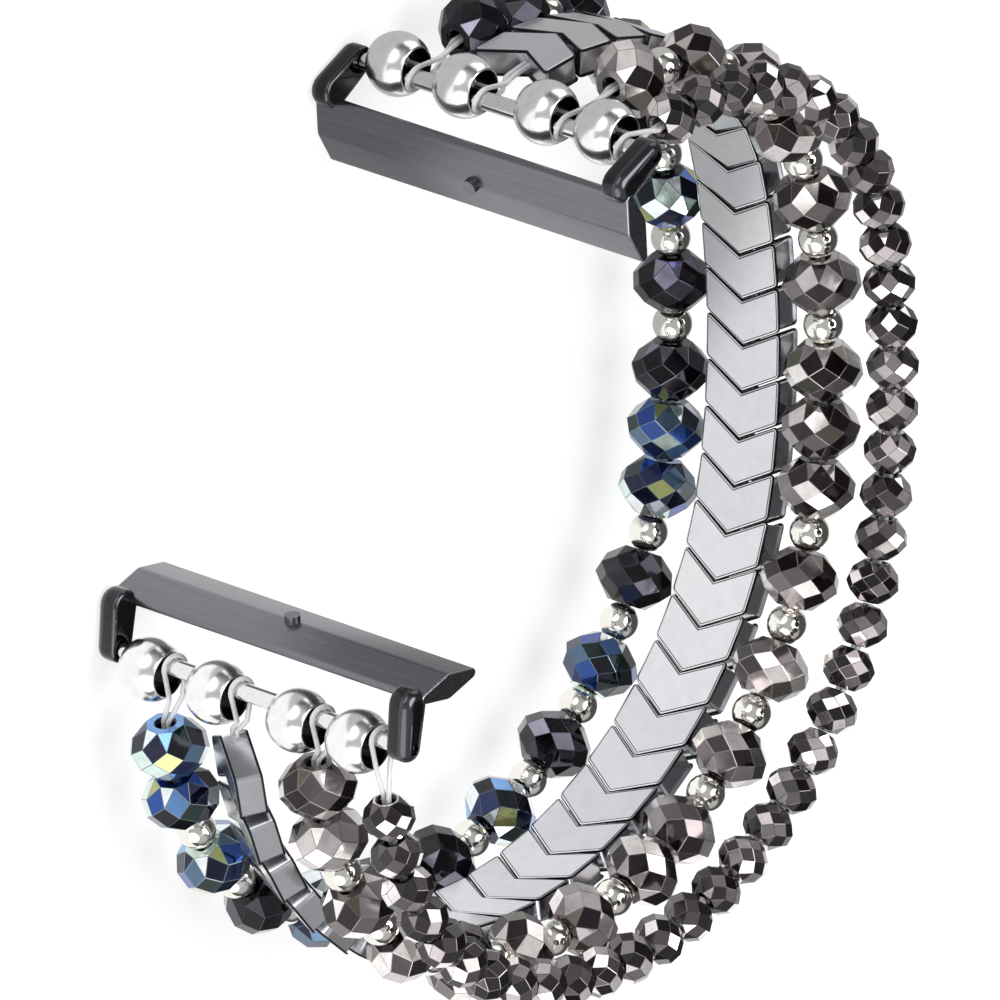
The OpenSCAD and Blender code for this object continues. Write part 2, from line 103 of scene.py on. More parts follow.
# Heights of the strands, balls and cord loops above the left ear's outer face.
BALL_HALF = math.sqrt((BALL_D / 2) ** 2 - (BALL_HOLE_D / 2) ** 2)
HALF_WIDTHS = (RONDELLE_D / 2, CHEVRON_W / 2, RONDELLE_D / 2, SMALL_D / 2)
STRAND_Z = [EAR_T + END_PLAY + BALL_HALF + BALL_SHIFT[LEFT]]
for gap, own, other in zip(STRAND_GAPS, HALF_WIDTHS, HALF_WIDTHS[1:]):
    STRAND_Z.append(STRAND_Z[-1] + own + gap + other)
BALL_Z = [z - shift for z, shift in zip(STRAND_Z, BALL_SHIFT)]
LOOP_OVER_BALL = BALL_HALF + MOUTH_GAP + CORD_D / 2 + CORD_STEP
ADAPTER_W = BALL_Z[SMALL] + LOOP_OVER_BALL + CORD_STEP + CORD_D / 2 + END_PLAY + EAR_T


# The loop: arcs joined end to end, and the places of beads along it.
def bead_length(kind):
    return RONDELLE_L if kind == "R" else math.sqrt(SPACER_D**2 - BEAD_HOLE_D**2)


def room_before(beads, n):
    return PAIR_GAP if 0 < n < len(beads) and beads[n - 1] == "R" and beads[n] == "R" else 0.0


def run_length(beads, count):
    return sum(room_before(beads, n) + bead_length(beads[n]) for n in range(count))


LEFT_RUN = run_length(LEFT_BEADS, BEAD_COUNT) + BEAD_COUNT * BEAD_PLAY
STRAND_LEN = FIRST_LEADS[LEFT] + LEFT_RUN + LAST_LEADS[LEFT]
LOOP_SCALE = STRAND_LEN / sum(r * math.radians(a) for r, a in ARCS)


def beads_of(strand):
    return LEFT_BEADS if strand == LEFT else GREY_BEADS


def beaded_length(strand):
    return STRAND_LEN - FIRST_LEADS[strand] - LAST_LEADS[strand]


def play_of(strand):
    if strand == LEFT:
        return BEAD_PLAY
    return (beaded_length(GREY) - run_length(GREY_BEADS, BEAD_COUNT)) / BEAD_COUNT


def bead_place(strand, n):
    """Distance along the line to the middle of bead n of a strand with silver balls."""
    beads = beads_of(strand)
    lead = FIRST_LEADS[strand] + run_length(beads, n) + room_before(beads, n)
    return lead + (n + 0.5) * play_of(strand) + bead_length(beads[n]) / 2


def gap_place(strand, n):
    """Distance along the line to the middle of the gap in front of bead n."""
    beads = beads_of(strand)
    return FIRST_LEADS[strand] + run_length(beads, n) + room_before(beads, n) / 2 + n * play_of(strand)


def arc_walk(s):
    """x, y and heading (degrees) of the loop at distance s, before it is turned level."""
    x = y = turn = 0.0
    for radius, sweep in ARCS:
        r = radius * LOOP_SCALE
        length = r * math.radians(sweep)
        a = math.radians(turn)
        b = a + min(s, length) / r
        x += r * (math.sin(b) - math.sin(a))
        y += r * (math.cos(a) - math.cos(b))
        if s <= length:
            return x, y, math.degrees(b)
        s -= length
        turn += sweep
    return x, y, turn


END_X, END_Y, _ = arc_walk(STRAND_LEN)
FIRST_TURN = 180 - math.degrees(math.atan2(END_Y, END_X))


def loop_point(s):
    """x and y from the lower axis, in mm, and the heading in degrees."""
    x, y, turn = arc_walk(s)
    c, d = math.cos(math.radians(FIRST_TURN)), math.sin(math.radians(FIRST_TURN))
    return LINE_START[0] + x * c - y * d, LINE_START[1] + x * d + y * c, turn + FIRST_TURN


# The axes of the large-hole balls at each adapter. The origin lies under the middle of the band's outline,
# which is measured at points this far apart.
OUTLINE_STEP = 0.5
OUTLINE = [loop_point(n * OUTLINE_STEP) for n in range(math.floor(STRAND_LEN / OUTLINE_STEP) + 1)]
ADAPTER_FRONT = min(RAIL_FRONT[1] - RAIL_EDGE_R, EAR_ROOT[1] - ROOT_R, -BALL_D / 2)
LOOP_BACK = max(y for _, y, _ in OUTLINE) + RONDELLE_D / 2
LOOP_SIDES = min(x for x, _, _ in OUTLINE), max(x for x, _, _ in OUTLINE)
LOWER_AXIS = (-sum(LOOP_SIDES) / 2, -(ADAPTER_FRONT + LOOP_BACK) / 2)
LAST_X, LAST_Y, _ = loop_point(STRAND_LEN)
UPPER_AXIS = (LOWER_AXIS[0] + LAST_X + LINE_END[0], LOWER_AXIS[1] + LAST_Y - LINE_END[1])

HANG = math.radians(HANG_ANGLE)
BAR_PLACE = (-BALL_HANG * math.cos(HANG), -BALL_HANG * math.sin(HANG))
LOWER_BAR = (LOWER_AXIS[0] + BAR_PLACE[0], LOWER_AXIS[1] + BAR_PLACE[1])
UPPER_BAR = (UPPER_AXIS[0] - BAR_PLACE[0], UPPER_AXIS[1] + BAR_PLACE[1])


def strand_matrix(strand, s, spin=0.0):
    """The frame of a bead on its strand: x along the cord, z up; spin is in degrees about the cord."""
    x, y, turn = loop_point(s)
    tilt = CHEVRON_TILT if strand == CHEVRONS else 0.0
    base = Matrix.Translation((LOWER_AXIS[0], LOWER_AXIS[1], STRAND_Z[strand]))
    lean = Matrix.Rotation(math.radians(tilt), 4, "X")
    place = Matrix.Translation((x, y, 0)) @ Matrix.Rotation(math.radians(turn), 4, "Z")
    return base @ lean @ place @ Matrix.Rotation(math.radians(spin), 4, "X")


def strand_spot(strand, s, up):
    return strand_matrix(strand, s) @ Vector((0, 0, up))


def fan_of(strand):
    return FAN_COUNT if strand == CHEVRONS else 0


def fill_room(strand):
    return beaded_length(strand) - fan_of(strand) * FAN_GAP


def fill_total(strand):
    """How many chevrons or small beads fill their strand."""
    return math.floor(fill_room(strand) / ((CHEVRON_ARM if strand == CHEVRONS else SMALL_L) + NEST_GAP))


def fill_place(strand, n):
    pitch = fill_room(strand) / fill_total(strand)
    return FIRST_LEADS[strand] + (n + 0.5) * pitch + min(n, fan_of(strand)) * FAN_GAP


def twist_at(s):
    """The chevron strand is twisted about its cord at the lower adapter, less and less along it."""
    return CHEVRON_TWIST * max(0.0, 1 - s / fill_place(CHEVRONS, FAN_COUNT))


def fill_lag(strand):
    """How far the middle of a bead's body, on its cord, stands behind the middle of its outline."""
    return CHEVRON_RISE / 2 if strand == CHEVRONS else 0.0


def flex_place(k):
    return gap_place(LEFT, LEFT_COUNTS[k])


def nearest_gap(s):
    """The number of the grey strand's gap that is nearest to distance s."""
    n = 0
    while n < BEAD_COUNT and gap_place(GREY, n) + gap_place(GREY, n + 1) <= 2 * s:
        n += 1
    return n


def count_at(strand, k):
    """How many beads of a strand come before the end of segment k."""
    if strand == LEFT:
        return LEFT_COUNTS[k]
    if strand == GREY:
        return 0 if k == 0 else BEAD_COUNT if k == SEGMENTS else nearest_gap(flex_place(k))
    if k in (0, SEGMENTS):
        return 0 if k == 0 else fill_total(strand)
    n = 0
    while fill_place(strand, n) <= flex_place(k) + fill_lag(strand):
        n += 1
    return n


def cut_place(strand, k):
    """Distance along the line to the gap that ends segment k."""
    count = count_at(strand, k)
    if strand in (LEFT, GREY):
        return gap_place(strand, count)
    return (fill_place(strand, count - 1) + fill_place(strand, count)) / 2 - fill_lag(strand)


# Mesh shapes. Each is a dict of points, faces, facet numbers and smooth flags. These facet numbers mark a
# bevel or the inside of a ball's hole, the painted highlight line of a chevron, and the inside of a bead's
# hole.
EDGE, HIGHLIGHT_LINE, BORE = -1, -2, 500
# How much of its material's rim colour a facet takes, which most materials use for painted highlight or
# painted shade on bevels, lines and holes.
RIM_SHARE = {EDGE: 1.0, HIGHLIGHT_LINE: 0.5}
# Numbers that keep the random draws apart.
SPIN_DRAW, SHADE_DRAW, TONE_DRAW = 3, 7, 991


def shape_of(bm):
    facet = bm.faces.layers.int["facet"]
    bm.verts.index_update()
    return {
        "points": np.array([v.co[:] for v in bm.verts]),
        "faces": [[v.index for v in f.verts] for f in bm.faces],
        "facets": [f[facet] for f in bm.faces],
        "smooth": [f.smooth for f in bm.faces],
    }


def bevel(bm, edges, width):
    """Bevels edges and marks the new faces as bevels."""
    facet = bm.faces.layers.int["facet"]
    made = bmesh.ops.bevel(
        bm, geom=list(edges), offset=width, segments=1, profile=0.5, affect="EDGES", clamp_overlap=True
    )
    for f in made["faces"]:
        f[facet] = EDGE


def cut_bead(d, length, table_r, girdle, hole_d, edge):
    """A cut glass bead along X: a zigzag girdle between two rows of eight facets, kites and triangles
    above them, and a drilled table at each end."""
    sides = 8
    around = 16
    # The hole's flare and its depth, and how far in its wall goes. Past that the mesh is open.
    flare, flare_depth, bore_depth = 0.22, 0.3, 1.2
    r = d / 2
    step = 2 * math.pi / sides
    c = math.cos(step / 2)
    kite = -(r - table_r) / (length / 2 - girdle)
    wall = (r * c - r) / (2 * girdle)
    mid = (r * (1 - c) - kite * girdle - wall * c * girdle) / (wall * c - kite)
    mid_r = r + wall * (mid + girdle)
    bm = bmesh.new()
    facet = bm.faces.layers.int.new("facet")

    def ring(x, radius, turn, count=sides):
        angles = [(n + turn) * 2 * math.pi / count for n in range(count)]
        return [bm.verts.new((x, radius * math.cos(a), radius * math.sin(a))) for a in angles]

    upper = ring(girdle, r, 0)
    lower = ring(-girdle, r, 0.5)
    numbers = itertools.count()

    def face(*corners):
        made = bm.faces.new(corners)
        made[facet] = next(numbers)
        return made

    for end, own, other, turn in ((1, upper, lower, 0.5), (-1, lower, upper, 1.0)):
        mids = ring(end * mid, mid_r, turn)
        table = ring(end * length / 2, table_r, turn - 0.5)
        rim = ring(end * length / 2, hole_d / 2 + flare, 0, around)
        bore = ring(end * (length / 2 - flare_depth), hole_d / 2, 0, around)
        deep = ring(end * (length / 2 - bore_depth), hole_d / 2, 0, around)
        for n in range(sides):
            m = (n + 1) % sides
            below = other[n] if end > 0 else other[m]
            face(own[n], below, own[m], mids[n])
            face(own[m], mids[m], table[m], mids[n])
            face(mids[n], table[m], table[n])
        edges = [e for e in bm.edges if all(v in table for v in e.verts)]
        loop = [bm.edges.new((rim[n], rim[(n + 1) % around])) for n in range(around)]
        filled = bmesh.ops.triangle_fill(bm, use_beauty=True, use_dissolve=False, edges=edges + loop)
        number = next(numbers)
        for item in filled["geom"]:
            if isinstance(item, bmesh.types.BMFace):
                item[facet] = number
        for near, far in ((rim, bore), (bore, deep)):
            for n in range(around):
                made = face(near[n], near[(n + 1) % around], far[(n + 1) % around], far[n])
                made[facet] = BORE
                made.smooth = True
    bmesh.ops.recalc_face_normals(bm, faces=bm.faces)
    sharp = [
        e
        for e in bm.edges
        if len(e.link_faces) == 2
        and not any(f.smooth for f in e.link_faces)
        and e.link_faces[0][facet] != e.link_faces[1][facet]
    ]
    bevel(bm, sharp, edge)
    made = shape_of(bm)
    bm.free()
    return made


def turned_shape(profile, bore):
    """A smooth closed shape turned about X from (x, radius) points. The rings numbered in bore are the
    inside of its hole, and count as an edge. Where the outside's points run from +x to -x, as a drilled
    ball's do, the faces are wound inwards."""
    around = 48
    points = []
    faces = []
    for x, radius in profile:
        for n in range(around):
            a = 2 * math.pi * n / around
            points.append((x, radius * math.cos(a), radius * math.sin(a)))
    rings = len(profile)
    for i in range(rings):
        j = (i + 1) % rings
        for n in range(around):
            m = (n + 1) % around
            faces.append([i * around + n, i * around + m, j * around + m, j * around + n])
    return {
        "points": np.array(points),
        "faces": faces,
        "facets": [EDGE if n // around in bore else 0 for n in range(len(faces))],
        "smooth": [True] * len(faces),
    }


def drilled_ball(d, hole_d, lip):
    """A ball along X with a rounded lip at each end of its hole."""
    ball_steps, lip_steps, bore_steps = 24, 5, 8
    # The share of the room in front of the ball's surface that the lip stands out, and how nearly its
    # first ring meets that surface.
    lip_out, lip_start = 0.6, 0.98
    r, h = d / 2, hole_d / 2
    half = math.sqrt(r * r - h * h)
    first = math.asin((h + lip) / r)
    profile = []
    for n in range(ball_steps + 1):
        a = first + (math.pi - 2 * first) * n / ball_steps
        profile.append((r * math.cos(a), r * math.sin(a)))
    edge_x, edge_r = profile[-1]
    lip_rings = []
    for n in range(1, lip_steps + 1):
        a = math.pi / 2 * n / lip_steps
        x = edge_x - (half - abs(edge_x)) * math.sin(a) * lip_out
        lip_rings.append((x, h + (edge_r - h) * math.cos(a) * lip_start))
    profile += lip_rings
    bore_x = profile[-1][0]
    # The painted shade of the hole's inside starts with the last two rings of the lip.
    first_dark = len(profile) - 2
    dark = range(first_dark, first_dark + bore_steps + 2)
    profile += [(bore_x - 2 * bore_x * n / bore_steps, h) for n in range(1, bore_steps)]
    profile += [(-x, radius) for x, radius in reversed(lip_rings)]
    return turned_shape(profile, dark)


# How many steps round a corner of a chevron's outline.
CORNER_STEPS = 4


def rounded_corners(corners):
    """The points of a polygon (x, z, radius), anticlockwise, with its corners rounded. A corner without a
    radius is one point."""
    points = []
    count = len(corners)
    for n, (x, z, radius) in enumerate(corners):
        here = Vector((x, z))
        before = (Vector(corners[n - 1][:2]) - here).normalized()
        after = (Vector(corners[(n + 1) % count][:2]) - here).normalized()
        if radius == 0:
            points.append(here)
            continue
        half = before.angle(after) / 2
        middle = here + (before + after).normalized() * radius / math.sin(half)
        start = here + before * radius / math.tan(half) - middle
        sweep = math.pi - 2 * half
        turns = [Matrix.Rotation(sweep * k / CORNER_STEPS, 2) for k in range(CORNER_STEPS + 1)]
        points += [middle + turn @ start for turn in turns]
    return points


def drawn_in(points, inset):
    """The same polygon with each side moved inwards by inset."""
    moved = []
    count = len(points)
    for n, here in enumerate(points):
        along = (here - points[n - 1]).normalized()
        onward = (points[(n + 1) % count] - here).normalized()
        first = Vector((-along.y, along.x))
        second = Vector((-onward.y, onward.x))
        moved.append(here + (first + second) * inset / (1 + first.dot(second)))
    return moved


def chevron_shape():
    """A flat V-shaped bead, its point along -X, with rounded side corners and rounded edges. It reaches
    nearer to its neighbours than the solid does, as the real ones touch."""
    reach = 0.08
    corner_r, shoulder_r = 0.3, 0.55
    edge, edge_steps = 0.18, 3
    line_w = 0.07
    # The painted highlight line runs along the point's two sides, and stops this far from the chevron's
    # sides.
    line_end = 0.4
    back = CHEVRON_ARM / 2 + reach
    rise = CHEVRON_RISE / 2
    w = CHEVRON_W / 2
    outline = rounded_corners(
        [
            (-back - rise, 0, corner_r),
            (rise - back, -w, shoulder_r),
            (back + rise, -w, corner_r),
            (back - rise, 0, 0),
            (back + rise, w, corner_r),
            (rise - back, w, shoulder_r),
        ]
    )
    curve = [math.pi / 2 * n / edge_steps for n in range(edge_steps + 1)]
    levels = [(edge * (1 - math.sin(a)), CHEVRON_T / 2 - edge * (1 - math.cos(a))) for a in curve]
    levels.append((edge + line_w, CHEVRON_T / 2))
    bm = bmesh.new()
    facet = bm.faces.layers.int.new("facet")
    # Each side's rings start at its flat, and the outermost one comes second: the others lead back over
    # the rounded edge. So the wall stands in by the edge's radius, the edge is a lip that crosses it, and
    # the faces between the lips are wound inwards.
    sides = []
    for side in (-1, 1):
        rings = []
        for inset, y in reversed(levels):
            rings.append([bm.verts.new((q.x, side * y, q.y)) for q in drawn_in(outline, inset)])
        sides.append(rings)
    count = len(outline)
    # Rows of faces between one side's rings, then the wall, then between the other side's rings. The line
    # is the first row and the last one.
    rows = list(zip(sides[0], sides[0][1:]))
    wall_row = len(rows)
    rows.append((sides[0][-1], sides[1][-1]))
    rows += zip(sides[1][1:], sides[1])
    for number, (near, far) in enumerate(rows):
        line = number in (0, len(rows) - 1)
        wall = number == wall_row
        for n in range(count):
            m = (n + 1) % count
            made = bm.faces.new((near[n], near[m], far[m], far[n]))
            middle = made.calc_center_median()
            pointed = middle.x < 0 and abs(middle.z) < w - line_end
            if line:
                made[facet] = HIGHLIGHT_LINE if pointed else 0
            else:
                made[facet] = 2 if wall else EDGE
            made.smooth = not line and not wall
    # Each flat is two halves, from the middle of the point to the notch, which follows three corners.
    point, notch = CORNER_STEPS // 2, 3 * (CORNER_STEPS + 1)
    for side in sides:
        ring = side[0]
        bm.faces.new(ring[point : notch + 1])[facet] = 0
        bm.faces.new(ring[notch:] + ring[: point + 1])[facet] = 0
    bmesh.ops.recalc_face_normals(bm, faces=bm.faces)
    made = shape_of(bm)
    bm.free()
    return made


def tube_shape(path, radius):
    """A round tube along a list of Vectors, none of which leads straight up, with closed ends."""
    sides = 12
    points = []
    faces = []
    last = len(path) - 1
    for n, p in enumerate(path):
        way = (path[min(n + 1, last)] - path[max(n - 1, 0)]).normalized()
        u = way.cross(Vector((0, 0, 1))).normalized()
        v = way.cross(u)
        for j in range(sides):
            a = 2 * math.pi * j / sides
            points.append(p + radius * (math.cos(a) * u + math.sin(a) * v))
    for n in range(last):
        for j in range(sides):
            q = (j + 1) % sides
            faces.append([n * sides + j, n * sides + q, (n + 1) * sides + q, (n + 1) * sides + j])
    smooth = [True] * len(faces) + [False, False]
    faces.append(list(range(sides - 1, -1, -1)))
    faces.append([last * sides + j for j in range(sides)])
    return {
        "points": np.array([p[:] for p in points]),
        "faces": faces,
        "facets": [0] * len(faces),
        "smooth": smooth,
    }


def hashed(*numbers):
    """A repeatable number from 0 to 1 for a list of whole numbers, by an FNV hash that is stirred twice."""
    value = 2166136261
    for number in numbers:
        value = ((value ^ (int(number) & 0xFFFF)) * 16777619) & 0xFFFFFFFF
        value ^= value >> 13
    value = (value * 2246822519) & 0xFFFFFFFF
    value ^= value >> 15
    return value / 0xFFFFFFFF


def build(name, items, materials, body, node):
    """One piece from items, each (shape, matrix in mm, seed, material number), in place of a node."""
    points, faces, shade, tone, rim, smooth, which = [], [], [], [], [], [], []
    offset = 0
    for shape, matrix, seed, material in items:
        m = np.array(matrix)
        own = shape["points"] @ m[:3, :3].T + m[:3, 3]
        points.append(own * MM)
        flip = np.linalg.det(m[:3, :3]) < 0
        for corners in shape["faces"]:
            moved = [c + offset for c in corners]
            faces.append(moved[::-1] if flip else moved)
        shade += [hashed(seed, f, SHADE_DRAW) for f in shape["facets"]]
        tone += [hashed(seed, TONE_DRAW)] * len(shape["faces"])
        rim += [RIM_SHARE.get(f, 0.0) for f in shape["facets"]]
        smooth += shape["smooth"]
        which += [material] * len(shape["faces"])
        offset += len(own)
    mesh = bpy.data.meshes.new(name)
    mesh.from_pydata(np.concatenate(points).tolist(), [], faces)
    for label, values in (("facet_tone_and_reflection", shade), ("bead_tone", tone), ("rim", rim)):
        mesh.attributes.new(label, "FLOAT", "FACE").data.foreach_set("value", values)
    mesh.polygons.foreach_set("use_smooth", smooth)
    mesh.polygons.foreach_set("material_index", which)
    for material in materials:
        mesh.materials.append(material)
    mesh.update()
    piece = bpy.data.objects.new(name, mesh)
    bpy.context.scene.collection.objects.link(piece)
    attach(piece, body)
    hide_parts(node)


# Materials.
def colour(code):
    """A colour from its sRGB hex code."""
    parts = [int(code[i : i + 2], 16) / 255 for i in (1, 3, 5)]
    linear = [p / 12.92 if p <= 0.04045 else ((p + 0.055) / 1.055) ** 2.4 for p in parts]
    return (*linear, 1.0)


def add(tree, kind, links=None, values=None, **settings):
    """Adds a node: links are sockets joined to its inputs, values are set on them, and settings are set
    on the node."""
    made = tree.nodes.new(kind)
    for key, value in settings.items():
        setattr(made, key, value)
    for key, value in (values or {}).items():
        made.inputs[key].default_value = value
    for key, socket in (links or {}).items():
        tree.links.new(socket, made.inputs[key])
    return made


def blank(name):
    """A new material with its node tree and its Principled shader."""
    material = bpy.data.materials.new(name)
    material.use_nodes = True
    tree = material.node_tree
    return material, tree, tree.nodes["Principled BSDF"]


def ramp(tree, socket, stops, interpolation="LINEAR"):
    made = add(tree, "ShaderNodeValToRGB", {"Fac": socket})
    made.color_ramp.interpolation = interpolation
    band = made.color_ramp.elements
    while len(band) < len(stops):
        band.new(0.5)
    for element, (place, tint) in zip(band, stops):
        element.position = place
        element.color = tint
    return made.outputs["Color"]


def attribute(tree, name):
    return add(tree, "ShaderNodeAttribute", attribute_name=name).outputs["Fac"]


def noise(tree, size, detail=3.0, along=1.0):
    """Fine noise with features of a size in millimetres, which are drawn out along Z if along is small."""
    where = add(tree, "ShaderNodeTexCoord").outputs["Object"]
    where = add(tree, "ShaderNodeMapping", {"Vector": where}, {"Scale": (1, 1, along)}).outputs["Vector"]
    made = add(
        tree,
        "ShaderNodeTexNoise",
        {"Vector": where},
        {"Scale": 1 / (size * MM), "Detail": detail, "Roughness": 0.55},
    )
    return made.outputs["Fac"]


def spread(tree, socket, low, high, a=0.0, b=1.0):
    """A value mapped from the range a to b onto the range low to high."""
    made = add(
        tree,
        "ShaderNodeMapRange",
        {"Value": socket},
        {"From Min": a, "From Max": b, "To Min": low, "To Max": high},
    )
    return made.outputs["Result"]


def mixed(tree, factor, first, second, mode="MIX"):
    """A mix of two colours, each a colour or a socket."""
    made = add(tree, "ShaderNodeMix", data_type="RGBA", blend_type=mode)
    # The numbers of a Mix node's sockets for colours, whose names it shares with its other kinds.
    factor_socket, first_socket, second_socket, result_socket = 0, 6, 7, 2
    for index, value in ((factor_socket, factor), (first_socket, first), (second_socket, second)):
        if isinstance(value, (float, int, tuple)):
            made.inputs[index].default_value = value
        else:
            tree.links.new(value, made.inputs[index])
    return made.outputs[result_socket]


def bumped(tree, shader, height, strength, depth):
    """Gives a shader a bump of a depth in millimetres."""
    made = add(
        tree, "ShaderNodeBump", {"Height": height}, {"Strength": strength, "Distance": depth * MM}
    )
    tree.links.new(made.outputs["Normal"], shader.inputs["Normal"])


def faceted_material(name, stops, painted_edge_tint, metallic, roughness):
    """A plated or coated cut bead: each facet takes a flat tone of its own from the ramp. The tone is
    partly the coat's own colour and partly painted reflection and painted shade. The edges between facets
    are mixed toward a rim tint, as thin painted highlights."""
    material, tree, shader = blank(name)
    tone = attribute(tree, "bead_tone")
    shade = attribute(tree, "facet_tone_and_reflection")
    # The ramp paints each facet one flat tone: its pale facets are painted highlights and its dark ones
    # painted shade.
    tint = ramp(tree, shade, stops, "CONSTANT")
    # The plating is mottled over about a millimetre.
    cloud = noise(tree, 1.111)
    clouded = mixed(tree, spread(tree, cloud, 0.0, 0.2, 0.4, 0.7), tint, colour("#4a4446"))
    toned = mixed(tree, spread(tree, tone, 0.0, 0.3), clouded, colour("#8a8280"), "OVERLAY")
    # The bevels between facets are mixed toward a paler rim tint, a painted highlight along the edges.
    edged = mixed(tree, spread(tree, attribute(tree, "rim"), 0.0, 0.7), toned, painted_edge_tint)
    tree.links.new(edged, shader.inputs["Base Color"])
    # The polish varies over less than half a millimetre.
    polish = spread(tree, noise(tree, 0.4), roughness * 0.7, roughness * 1.5)
    tree.links.new(polish, shader.inputs["Roughness"])
    shader.inputs["Metallic"].default_value = metallic
    shader.inputs["Coat Weight"].default_value = 0.4
    shader.inputs["Coat Roughness"].default_value = 0.03
    # Real polishing marks are too fine to show, so they are drawn a tenth of a millimetre apart.
    bumped(tree, shader, noise(tree, 0.1111, 2.0), 0.06, 0.02)
    return material


def gunmetal_glass():
    """Cut glass plated in gunmetal: each facet is painted one flat tone, from nearly black to nearly white,
    as painted reflection and painted shade.
    """
    stops = [
        (0.0, colour("#2b2326")),
        (0.15, colour("#969092")),
        (0.27, colour("#231b1e")),
        (0.4, colour("#d2cccb")),
        (0.48, colour("#5f5c52")),
        (0.57, colour("#fbf4f3")),
        (0.7, colour("#7d7475")),
        (0.8, colour("#3a3234")),
        (0.86, colour("#fffaf8")),
    ]
    return faceted_material("gunmetal_plated_glass", stops, colour("#8d8586"), 0.75, 0.11)


def small_gunmetal_glass():
    """The same plating on the small beads: darker, with one facet in five painted near-white as a painted
    highlight.
    """
    stops = [
        (0.0, colour("#3e3b3e")),
        (0.25, colour("#2c282d")),
        (0.42, colour("#676164")),
        (0.56, colour("#342c30")),
        (0.68, colour("#9a9294")),
        (0.78, colour("#fbf4f3")),
    ]
    return faceted_material("dark_gunmetal_plated_glass", stops, colour("#5f5a5c"), 0.85, 0.1)


def aurora_glass():
    """Cut black glass with an iridescent coat: facets from deep blue to pale green, with some yellow. The
    hues are the coat's own, and the near-white facets are painted highlights.
    """
    stops = [
        (0.0, colour("#101838")),
        (0.14, colour("#2450a0")),
        (0.25, colour("#141a24")),
        (0.36, colour("#54728c")),
        (0.45, colour("#1c2c5a")),
        (0.55, colour("#7fb0ea")),
        (0.64, colour("#2c403f")),
        (0.72, colour("#dcefe8")),
        (0.82, colour("#b7bd7c")),
        (0.88, colour("#f4fbff")),
    ]
    return faceted_material("aurora_coated_glass", stops, colour("#5d7086"), 0.75, 0.08)


def black_glass():
    """Cut black glass: nearly black facets, with a few painted pale as painted highlights."""
    stops = [
        (0.0, colour("#0a0a10")),
        (0.3, colour("#1a1922")),
        (0.5, colour("#101018")),
        (0.66, colour("#3d3c49")),
        (0.78, colour("#1f2233")),
        (0.88, colour("#9f9bb0")),
    ]
    return faceted_material("black_cut_glass", stops, colour("#34333f"), 0.8, 0.08)


def hematite():
    """Polished stone with a metal shine: evenly grey flats, with painted shade on the rounded edges and a
    painted highlight line at the edges of the point."""
    material, tree, shader = blank("polished_hematite")
    tone = attribute(tree, "bead_tone")
    rim = attribute(tree, "rim")
    greys = [(0.0, colour("#cfd0d5")), (0.5, colour("#dadbdf")), (1.0, colour("#e4e4e7"))]
    base = ramp(tree, tone, greys)
    # Mineral clouding a bit over a millimetre across.
    clouded = mixed(tree, spread(tree, noise(tree, 1.25), 0.0, 0.1, 0.4, 0.7), base, colour("#9a9ba1"))
    # The line near the point is mixed toward near-white: a painted highlight.
    highlight_lined = mixed(tree, spread(tree, rim, 0.0, 1.0, 0.0, 0.5), clouded, colour("#f0f0f3"))
    # The rounded edges are mixed toward near-black: painted shade.
    edged = mixed(tree, spread(tree, rim, 0.0, 1.0, 0.5, 1.0), highlight_lined, colour("#2a2b30"))
    tree.links.new(edged, shader.inputs["Base Color"])
    # Haze and marks of the polishing, drawn coarser than they are so that they show.
    tree.links.new(spread(tree, noise(tree, 0.3333), 0.17, 0.26), shader.inputs["Roughness"])
    shader.inputs["Metallic"].default_value = 1.0
    bumped(tree, shader, noise(tree, 0.1667, 2.0), 0.04, 0.02)
    return material


def silver_plate(name, roughness, tint):
    """Polished silver plating: a bright warm mirror, with painted shade in its hole."""
    material, tree, shader = blank(name)
    # Haze over less than a millimetre.
    haze = noise(tree, 0.6667)
    clouded = mixed(tree, spread(tree, haze, 0.0, 0.2, 0.45, 0.75), colour(tint), colour("#c9c7c2"))
    # The hole's inside and the inner rings of its lip are painted dark: painted shade in the hole.
    hole_shaded = mixed(tree, attribute(tree, "rim"), clouded, colour("#2b2a26"))
    tree.links.new(hole_shaded, shader.inputs["Base Color"])
    tree.links.new(spread(tree, haze, roughness * 0.7, roughness * 1.4), shader.inputs["Roughness"])
    shader.inputs["Metallic"].default_value = 1.0
    # The plating is slightly uneven, with bumps about a millimetre and a half apart.
    bumped(tree, shader, noise(tree, 1.4286, 2.0), 0.16, 0.06)
    return material


def polished_steel():
    """Polished stainless steel: an almost white mirror, with fine marks drawn a quarter of a millimetre
    apart so that they show."""
    material, tree, shader = blank("polished_steel")
    fine = noise(tree, 0.25)
    tree.links.new(mixed(tree, fine, colour("#dcdcde"), colour("#f2f2f3")), shader.inputs["Base Color"])
    tree.links.new(spread(tree, fine, 0.04, 0.12), shader.inputs["Roughness"])
    shader.inputs["Metallic"].default_value = 1.0
    bumped(tree, shader, fine, 0.06, 0.02)
    return material


